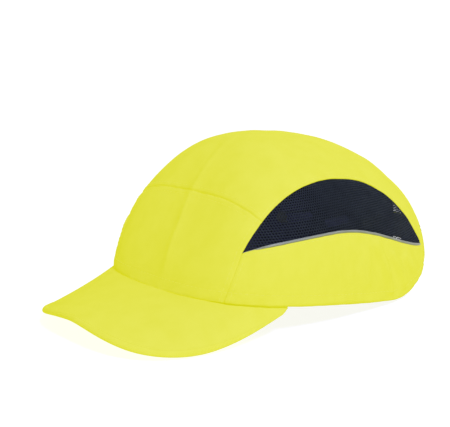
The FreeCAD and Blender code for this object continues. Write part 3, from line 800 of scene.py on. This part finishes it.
def peak_point(q, v, depth):
    """Point of the peak: v runs from the front panel (0) to the edge (1)."""
    angle = PEAK_TURN * q
    turn = np.radians(angle)
    base = plan_radius(angle) - 2.0
    width = peak_width(q)
    drop = PEAK_DROP_MIDDLE + PEAK_DROP_SIDES * np.abs(q) ** PEAK_DROP_POWER
    slope = np.tan(np.radians(drop))
    x = base * np.sin(turn) * (1.0 + PEAK_SPREAD * width / PEAK_LENGTH * v)
    y = AXIS_BACK - base * np.cos(turn) - width * v
    thin = mix(1.0, 0.4, smooth((np.abs(q) - 0.75) / 0.22))
    fall = width * slope * (v + PEAK_SWEEP * v * (1.0 - v))
    z = hem_height(angle) - 0.1 - fall - depth * thin
    return stack(x, y, z)


def peak_layer(name, top):
    """One cover of the peak: both round off to meet half way down at the edge."""
    q = 0.97 * np.sin(np.radians(90.0 * (2.0 * np.linspace(0, 1, 260) - 1.0)))[:, None]
    t = np.linspace(0.0, 1.0, 110)[None, :]
    v = 1.0 - (1.0 - t) ** 1.8
    width = peak_width(q)
    edge = np.minimum(width * (1.0 - v), 60.0) * (0.35 + 0.65 * np.cos(np.radians(60 * q)))
    half = PEAK_THICK / 2.0
    rounding = half - np.sqrt(np.maximum(half**2 - np.maximum(half - edge, 0.0) ** 2, 0.0))
    groove = 0.22 * np.exp(-(((edge - 3.3) / 0.5) ** 2)) - 0.22 * np.exp(-(((edge - 1.7) / 1.2) ** 2))
    flat = peak_point(q, v, 0.0)
    wave = 0.10 * ripple(flat, 34.0, 31) - 0.12 * np.exp(-((edge - 6.0) / 4.0) ** 2)
    deep = rounding + groove - wave
    if top:
        outer = peak_point(q, v, deep)
        inner = peak_point(q, v, np.minimum(deep + CLOTH_THICK, half))
    else:
        low = PEAK_THICK - deep * 0.98
        outer = peak_point(q, v, low)
        inner = peak_point(q, v, np.maximum(low - CLOTH_THICK, half))
    uv = flat[..., :2]
    obj = slab(name, outer, inner, cloth_mat, "cover", uv)
    return obj


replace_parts(peak_layer("peak_upper_cloth", True), "peak_upper_cover")
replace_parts(peak_layer("peak_lower_cloth", False), "peak_lower_cover")

# Arch binding: tape folded over the edge of the cloth, with a row of stitches.


def arch_line(turn, extra, depth):
    x = (ARCH_HALF + extra) * np.cos(turn)
    z = ARCH_FOOT + (ARCH_TALL + extra) * np.sin(turn)
    return rear_point(x, z, depth)


start = math.asin((float(hem_height(157.0)) - ARCH_FOOT) / ARCH_TALL)
turn = np.linspace(start, math.pi - start, 260)
around = np.linspace(0.0, 2.0 * np.pi, 28, endpoint=False)
across = np.sign(np.cos(around)) * np.abs(np.cos(around)) ** 0.55
deep = np.sign(np.sin(around)) * np.abs(np.sin(around)) ** 0.7
middle = arch_line(turn, TAPE_HALF, 0.7)
pucker = 0.12 * ripple(middle, 5.0, 41)[:, None]
stitch_dent = 0.14 * np.exp(-((across * TAPE_HALF - 1.7) / 0.5) ** 2)
rings = arch_line(turn[:, None], TAPE_HALF + TAPE_HALF * across[None, :],
                  0.5 - (1.4 + pucker - stitch_dent[None, :]) * deep[None, :])
obj = tube_rings("arch_binding_tape", rings, tape_mat, "cover")
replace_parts(obj, "arch_binding")
fine = np.linspace(start + 0.02, math.pi - start - 0.02, 300)
seam = TAPE_HALF + 1.7
line = arch_line(fine, seam, -0.8)
stitches("arch_binding_topstitch", [(line, unit(line - arch_line(fine, seam, 1.0)))], dark_thread_mat,
         "cover")

# Closing strap: folded cloth bands, edge stitched, with hook and loop tape.


def strap_cloth(name, stations, depths, body, tips):
    """Band of cloth with soft edges along x; tips rounds its start and end."""
    u = np.linspace(0.0, 1.0, 34)
    x = stations[:, None]
    half = np.full(len(stations), STRAP_HEIGHT / 2.0)
    for tip, end in zip(tips, (stations[0], stations[-1])):
        if tip:
            gap = np.minimum(np.abs(stations - end), tip)
            half = np.minimum(half, STRAP_HEIGHT / 2.0 - tip + np.sqrt(
                np.maximum(tip**2 - (tip - gap) ** 2, 0.0)))
    z = STRAP_FOOT + STRAP_HEIGHT / 2.0 + half[:, None] * (2.0 * u - 1.0)
    edge = half[:, None] * (1.0 - np.abs(2.0 * u - 1.0))
    puff = 0.42 * (1.0 - np.exp(-edge / 0.8)) - 0.14 * np.exp(-(((edge - 2.2) / 0.5) ** 2))
    puff = puff + 0.07 * ripple(stack(x, 0.0, z), 5.0, 51)
    shut = np.exp(-edge / 0.25) * STRAP_THICK / 2.0
    outer = rear_point(x, z, depths[:, None] + shut - puff + 0.35)
    inner = rear_point(x, z, depths[:, None] + STRAP_THICK - shut)
    uv = stack(x, z)
    return slab(name, outer, inner, strap_mat, body, uv, lining=lining_mat)


# Depths and thicknesses of the strap's layers, from the loop tab outwards.
LOOP_DEPTH, PATCH_THICK, HOOK_GAP, LAID = 1.8, 0.7, 0.3, 0.05
LOOP_FUZZ, STRAP_STITCH = 0.16, 2.2
patch_depth = LOOP_DEPTH - LAID - PATCH_THICK
hook_depth = patch_depth - HOOK_GAP - PATCH_THICK
tab_depth = hook_depth - LAID - STRAP_THICK

loop_x = np.linspace(58.0, -6.0, 110)
loop_tab = strap_cloth("strap_loop_cloth", loop_x, np.full(110, LOOP_DEPTH), "cover", (0.0, 3.0))
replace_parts(loop_tab, "strap_loop_tab")

tab_x = np.linspace(-58.0, 26.0, 170)
tab_in = mix(LOOP_DEPTH, tab_depth, smooth((tab_x - HINGE_X) / 14.0))
tab = strap_cloth("strap_tab_cloth", tab_x, tab_in, None, (0.0, 5.0))
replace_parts(tab, "strap_tab", "strap_anchor")
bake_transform(tab)


def tape_patch(name, x0, x1, depth, material, body, rough):
    """Rectangle of tape, sewn round its edge. depth is (face, back, which way the face dents)."""
    x, z = np.meshgrid(np.linspace(x0, x1, 90), np.linspace(
        STRAP_FOOT + 1.5, STRAP_FOOT + STRAP_HEIGHT - 1.5, 46), indexing="ij")
    rim = np.minimum(np.minimum(np.abs(x - x0), np.abs(x - x1)), np.minimum(
        z - z.min(), z.max() - z))
    dent = 0.25 * np.exp(-(((rim - 1.4) / 0.45) ** 2)) + 0.2 * np.exp(-rim / 0.3)
    fuzz = rough * (rng.random(x.shape) - 0.5)
    outer = rear_point(x, z, depth[0] + (dent + fuzz) * depth[2])
    inner = rear_point(x, z, depth[1])
    return slab(name, outer, inner, material, body, stack(x, z))


obj = tape_patch("loop_patch_pile", 24.0, -5.0, (patch_depth + 0.05, LOOP_DEPTH, 1.0), loop_mat,
                 "cover", LOOP_FUZZ)
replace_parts(obj, "loop_patch")
obj = tape_patch("hook_patch_tape", -9.0, 24.0, (hook_depth + 0.55, hook_depth - 0.1, -0.2), hook_mat,
                 "strap_tab", 0.0)
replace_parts(obj, "hook_patch")


def build_hooks():
    """Rows of small hooks on the hook tape, pointing at the loop pile."""
    x, z = np.meshgrid(np.arange(-7.4, 23.0, 1.25), np.arange(
        STRAP_FOOT + 3.3, STRAP_FOOT + STRAP_HEIGHT - 3.0, 1.15), indexing="ij")
    x = x + np.where(np.arange(x.shape[1]) % 2 == 0, 0.0, 0.6)
    x, z = x.ravel(), z.ravel()
    foot = rear_point(x, z, hook_depth + 0.5)
    head = rear_point(x, z, hook_depth + PATCH_THICK + 0.08)
    tip = rear_point(x + 0.45, z, hook_depth + PATCH_THICK - 0.05)
    verts, faces = [], []
    for points, size in ((foot, 0.2), (head, 0.16), (tip, 0.1)):
        for dx, dz in ((-1, -1), (1, -1), (1, 1), (-1, 1)):
            verts.append(points + np.array((dx * size, 0.0, dz * size)))
    verts = np.stack(verts, 1)
    for k in range(len(x)):
        for level in (0, 4):
            for j in range(4):
                a, b = 12 * k + level + j, 12 * k + level + (j + 1) % 4
                faces.append([a, b, b + 4, a + 4])
        faces.append([12 * k + 8 + j for j in range(4)])
    finish_mesh("hook_patch_hooks", verts.reshape(-1, 3), faces, hook_mat, "strap_tab", rounded=False)


build_hooks()


def strap_rows(x0, x1, depths):
    """A row of stitches near each long edge, at depths given as (places, depths) along x."""
    rows = []
    for side in (-1.0, 1.0):
        x = np.linspace(x0, x1, 120)
        z = STRAP_FOOT + STRAP_HEIGHT / 2.0 + side * (STRAP_HEIGHT / 2.0 - STRAP_STITCH)
        deep = np.interp(x, *depths)
        line = rear_point(x, np.full(120, z), deep)
        rows.append((line, unit(line - rear_point(x, np.full(120, z), deep + 1.0))))
    return rows


stitches("strap_tab_topstitch", strap_rows(-26.5, 20.0, (tab_x, tab_in)), thread_mat, "strap_tab")
stitches("strap_anchor_topstitch", strap_rows(-47.0, -35.5, (tab_x, tab_in)), thread_mat, "cover")
stitches("strap_loop_topstitch", strap_rows(46.0, 27.5, ([-60.0, 60.0], [LOOP_DEPTH] * 2)),
         thread_mat, "cover")
end_x = np.full(40, 22.4)
end_z = np.linspace(STRAP_FOOT + 3.5, STRAP_FOOT + STRAP_HEIGHT - 3.5, 40)
line = rear_point(end_x, end_z, tab_depth)
stitches("strap_end_topstitch", [(line, unit(line - rear_point(end_x, end_z, tab_depth + 1.0)))],
         thread_mat, "strap_tab")

# Liner: the shell keeps its CAD shape; each foam pad is a soft, edge-pressed block.
shell = frame["nodes"]["bump_shell"]
shell.data.materials.clear()
shell.data.materials.append(shell_mat)


def foam_pad(name, spot_at, node):
    """Foam pad in fabric: spot_at turns (u, v), 0 to 1, into chart spots."""
    rho = np.linspace(0.0, 1.0, 46) ** 0.8
    phi = np.linspace(0.0, 2.0 * np.pi, 140)
    c, s = np.cos(phi), np.sin(phi)
    corner = (np.abs(c) ** 6 + np.abs(s) ** 6) ** (-1.0 / 6.0)
    u = 0.5 + 0.5 * rho[:, None] * (corner * c)[None, :]
    v = 0.5 + 0.5 * rho[:, None] * (corner * s)[None, :]
    spot = spot_at(u, v)
    base = crown_point(*from_disc(spot))
    edge = np.linalg.norm(base - base[-1:], axis=-1)
    rounding = np.sqrt(np.maximum(1.0 - (1.0 - np.clip(edge / PAD_RIM, 0, 1)) ** 2, 0.0))
    tall = 0.9 + (PAD_THICK - 1.0) * rounding
    groove = np.exp(-((edge - 7.5) / 0.7) ** 2)
    tall = tall - 0.45 * groove + 0.15 * ripple(base, 16.0, len(name))
    out = outwards(spot)
    lower = base - out * PAD_DEPTH
    upper = base - out * (PAD_DEPTH + tall[..., None])
    n, m = spot.shape[:2]
    verts = np.concatenate((upper.reshape(-1, 3), lower.reshape(-1, 3)))
    faces = grid_faces(n, m)[1:].reshape(-1, 4).tolist()
    faces += grid_faces(n, m, n * m, True)[1:].reshape(-1, 4).tolist()
    faces += [[j, m + j + 1, m + j] for j in range(m - 1)]
    faces += [[n * m + j, n * m + m + j, n * m + m + j + 1] for j in range(m - 1)]
    last = (n - 1) * m
    faces += [[last + j, last + j + 1, n * m + last + j + 1, n * m + last + j] for j in range(m - 1)]
    uv = np.concatenate((spot.reshape(-1, 2), spot.reshape(-1, 2))) * UV_SCALE
    obj = finish_mesh(name, verts, faces, foam_mat, "liner", uv)
    mesh = obj.data
    facing = sum(p.normal.dot(Vector(-out[0, 0])) for p in list(mesh.polygons)[:200])
    if facing < 0.0:
        mesh.flip_normals()
    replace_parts(obj, node)


def pad_between(start, end, low, high):
    return lambda u, v: raised(mix(start, end, u), mix(low, high, v))


def crown_pad_spot(u, v):
    half = 0.236
    return stack(half * (1.0 - 2.0 * v), half * (2.0 * u - 1.0))


foam_pad("front_foam", pad_between(-34.0, 34.0, 40.0, 62.0), "front_pad")
foam_pad("rear_foam", pad_between(154.0, 206.0, 52.0, 68.0), "rear_pad")
foam_pad("side_left_foam", pad_between(62.0, 104.0, 40.0, 60.0), "side_pad_left")
foam_pad("side_right_foam", pad_between(-62.0, -104.0, 40.0, 60.0), "side_pad_right")
foam_pad("crown_foam", crown_pad_spot, "crown_pad")

# Sweatband: a soft looped band, sewn along the hem.
angle = np.linspace(-BAND_REACH, BAND_REACH, 420)[:, None]
rise = np.linspace(BAND_FOOT, BAND_TOP, 44)[None, :]
depth = mix(1.3, 4.2, smooth((rise - 6.0) / 14.0))
spot = raised(angle, rise)
base, out = crown_point(*from_disc(spot)), outwards(spot)
edge = np.minimum(rise - BAND_FOOT, BAND_TOP - rise)
soft = 1.0 - np.exp(-edge / 1.2)
wave = 0.18 * ripple(base, 11.0, 61) - 0.3 * np.exp(-(((rise - BAND_STITCH) / 0.6) ** 2))
inner = base - out * (depth + 2.0 * (0.3 + 0.7 * soft) + wave)[..., None]
outer = base - out * (depth + 0.3 * (1.0 - soft))[..., None]
arc = np.concatenate((np.zeros(1), np.cumsum(np.linalg.norm(np.diff(base[:, 5], axis=0), axis=-1))))
band = slab("sweatband_terry", inner, outer, band_mat, "cover", stack(arc[:, None], rise))
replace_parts(band, "sweatband")
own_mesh(band)
k = int(np.argmax(rise[0] > BAND_STITCH))
stitches("sweatband_topstitch", [(inner[:, k], -out[:, k])], dark_thread_mat, "cover")

# Peak board, shut between the two covers.
q = 0.955 * np.linspace(-1.0, 1.0, 120)[:, None]
v = np.linspace(0.0, 0.94, 40)[None, :]
board = slab("peak_board_plate", peak_point(q, v, 0.9), peak_point(q, v, 2.5), board_mat, "cover",
             stack(q * 80.0, v * 58.0))
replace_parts(board, "peak_board")


# Stage.


def light(name, place, target, size, power, colour):
    lamp = bpy.data.lights.new(name, "AREA")
    lamp.energy, lamp.size, lamp.color = power, size, colour
    obj = bpy.data.objects.new(name, lamp)
    obj.location = place
    obj.rotation_euler = (Vector(target) - Vector(place)).to_track_quat("-Z", "Y").to_euler()
    bpy.context.scene.collection.objects.link(obj)


def build_stage():
    mesh = bpy.data.meshes.new("floor")
    size = 6.0
    mesh.from_pydata([(-size, -size, 0.0), (size, -size, 0.0), (size, size, 0.0), (-size, size, 0.0)],
                     [], [(0, 1, 2, 3)])
    mat, _, _ = new_material("floor", (0.15, 0.15, 0.15), 0.8, Emission_Strength=0.93,
                             Emission_Color=(1.0, 1.0, 0.93, 1.0), Specular_IOR_Level=0.05)
    mesh.materials.append(mat)
    floor = bpy.data.objects.new("floor", mesh)
    floor.location.z = -0.0006
    bpy.context.scene.collection.objects.link(floor)
    mesh = bpy.data.meshes.new("backdrop")
    mesh.from_pydata([(-5.0, 0.0, -0.5), (5.0, 0.0, -0.5), (5.0, 0.0, 4.0), (-5.0, 0.0, 4.0)],
                     [], [(0, 1, 2, 3)])
    mat, _, _ = new_material("backdrop", (0.9, 0.9, 0.9), 0.9, Emission_Strength=1.0,
                             Emission_Color=(1.0, 1.0, 1.0, 1.0))
    mesh.materials.append(mat)
    backdrop = bpy.data.objects.new("backdrop", mesh)
    backdrop.location = (-2.2, 2.35, 0.0)
    backdrop.rotation_euler.z = math.radians(43.0)
    bpy.context.scene.collection.objects.link(backdrop)
    world = bpy.data.worlds.new("studio")
    world.use_nodes = True
    world.node_tree.nodes["Background"].inputs["Color"].default_value = (1.0, 1.0, 0.9, 1.0)
    world.node_tree.nodes["Background"].inputs["Strength"].default_value = 0.2
    bpy.context.scene.world = world
    light("key", (1.1, -0.3, 1.3), (0.0, 0.0, 0.05), 0.35, 36.0, (0.68, 0.72, 1.9))
    light("fill", (-1.0, -1.2, 0.5), (0.0, 0.0, 0.05), 1.2, 1.0, (1.0, 0.98, 0.3))


def build_camera():
    az, el, far = math.radians(43.0765), math.radians(15.0844), 0.573
    ref = Vector((0.0, AXIS_BACK * MM, FRONT_HEM * MM))
    way = Vector((math.cos(el) * math.cos(az), -math.cos(el) * math.sin(az), math.sin(el)))
    data = bpy.data.cameras.new("camera")
    cam = bpy.data.objects.new("camera", data)
    cam.location = ref + way * far
    cam.rotation_euler = (-way).to_track_quat("-Z", "Y").to_euler()
    data.sensor_width = 36.0
    data.lens = 67.230114
    data.shift_x = -0.0661800
    data.shift_y = 0.1000933
    data.clip_start, data.clip_end = 0.01, 50.0
    bpy.context.scene.collection.objects.link(cam)
    bpy.context.scene.camera = cam


build_stage()
build_camera()
bpy.context.scene.view_settings.view_transform = "Standard"
